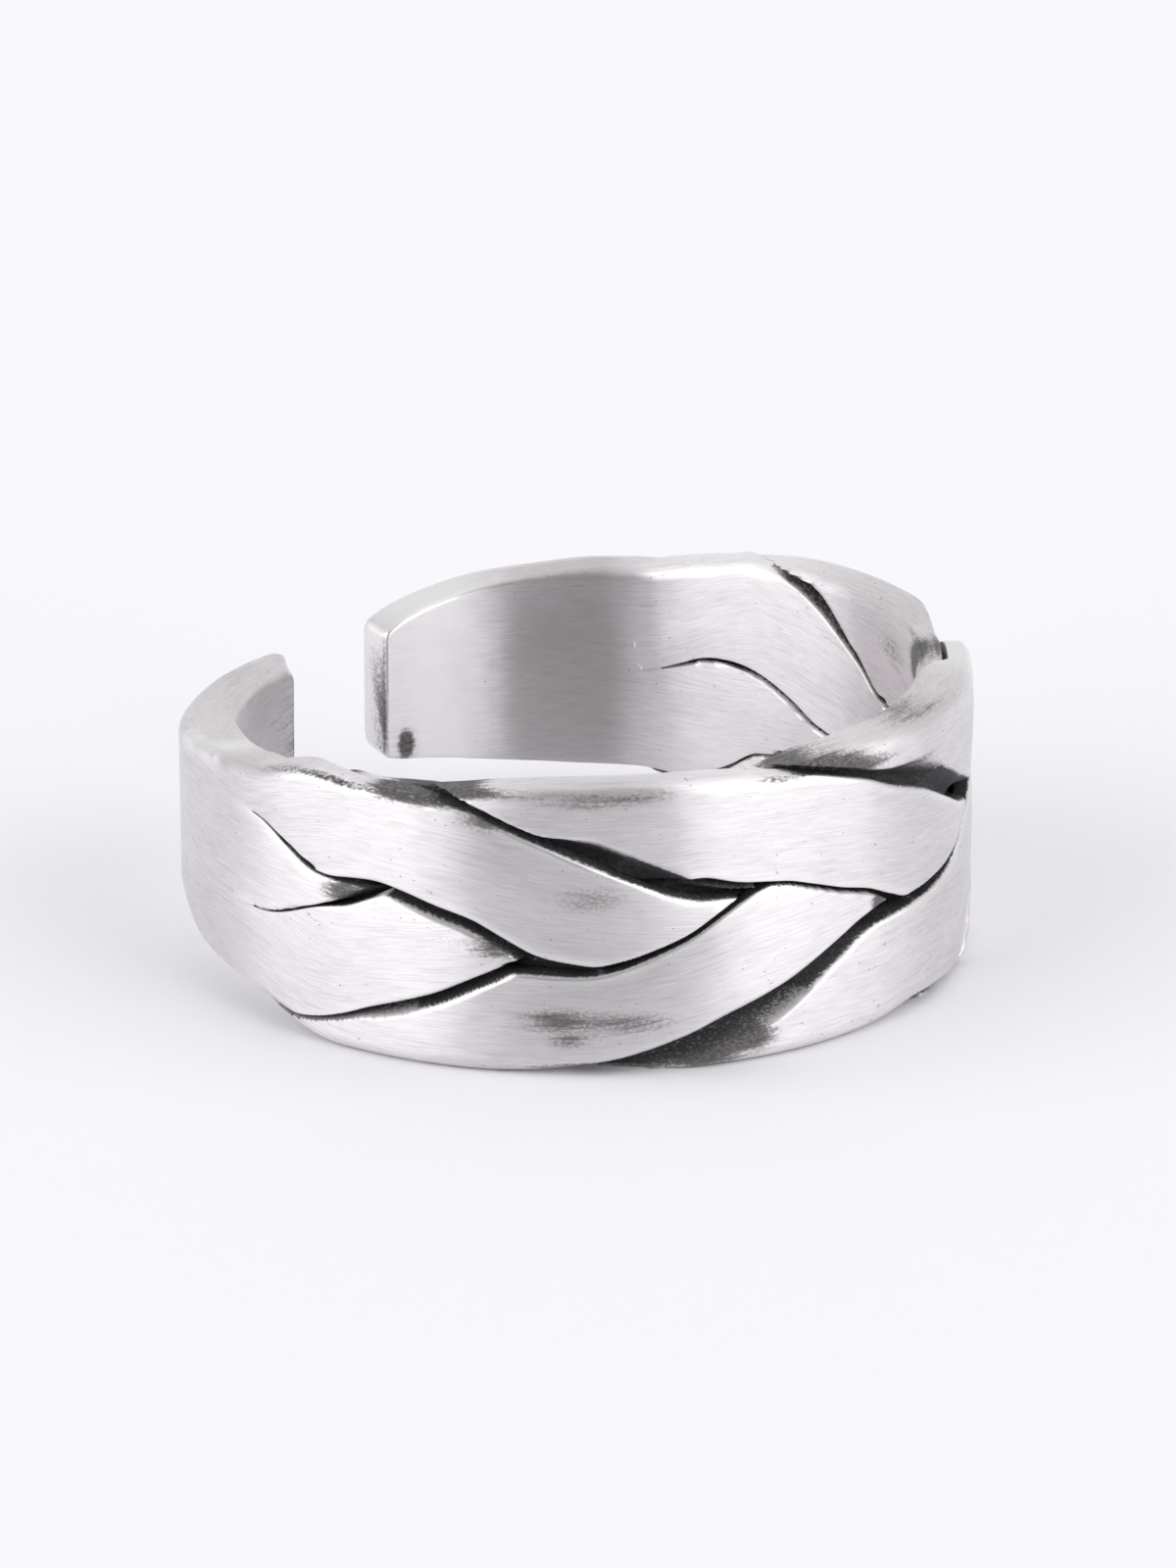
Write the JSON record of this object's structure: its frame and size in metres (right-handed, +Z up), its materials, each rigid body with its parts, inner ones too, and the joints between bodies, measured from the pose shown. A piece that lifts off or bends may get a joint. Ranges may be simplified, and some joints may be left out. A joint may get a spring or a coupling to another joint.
{
  "type": "braided band ring",
  "caption": "Open finger ring with a wide band of flat plaited metal strands that run into a plain tapered end on each side of the gap.",
  "frame": {"origin": "on the axis of the finger hole, level with the lowest edge of the band, which the ring lies on", "axes": "+Z up along the axis of the finger hole, -Y towards the front of the plait, the gap between the ends at the back, on the side of -X"},
  "size_m": [0.0204, 0.0204, 0.0077],
  "materials": {
    "silver": "satin brushed silver, blackened in the grooves between the strands"
  },
  "bodies": {
    "root": {"plain_end_left": "silver", "plain_end_right": "silver", "strand_1": "silver", "strand_2": "silver", "strand_3": "silver", "strand_4": "silver", "strand_5": "silver"}
  },
  "joints": []
}
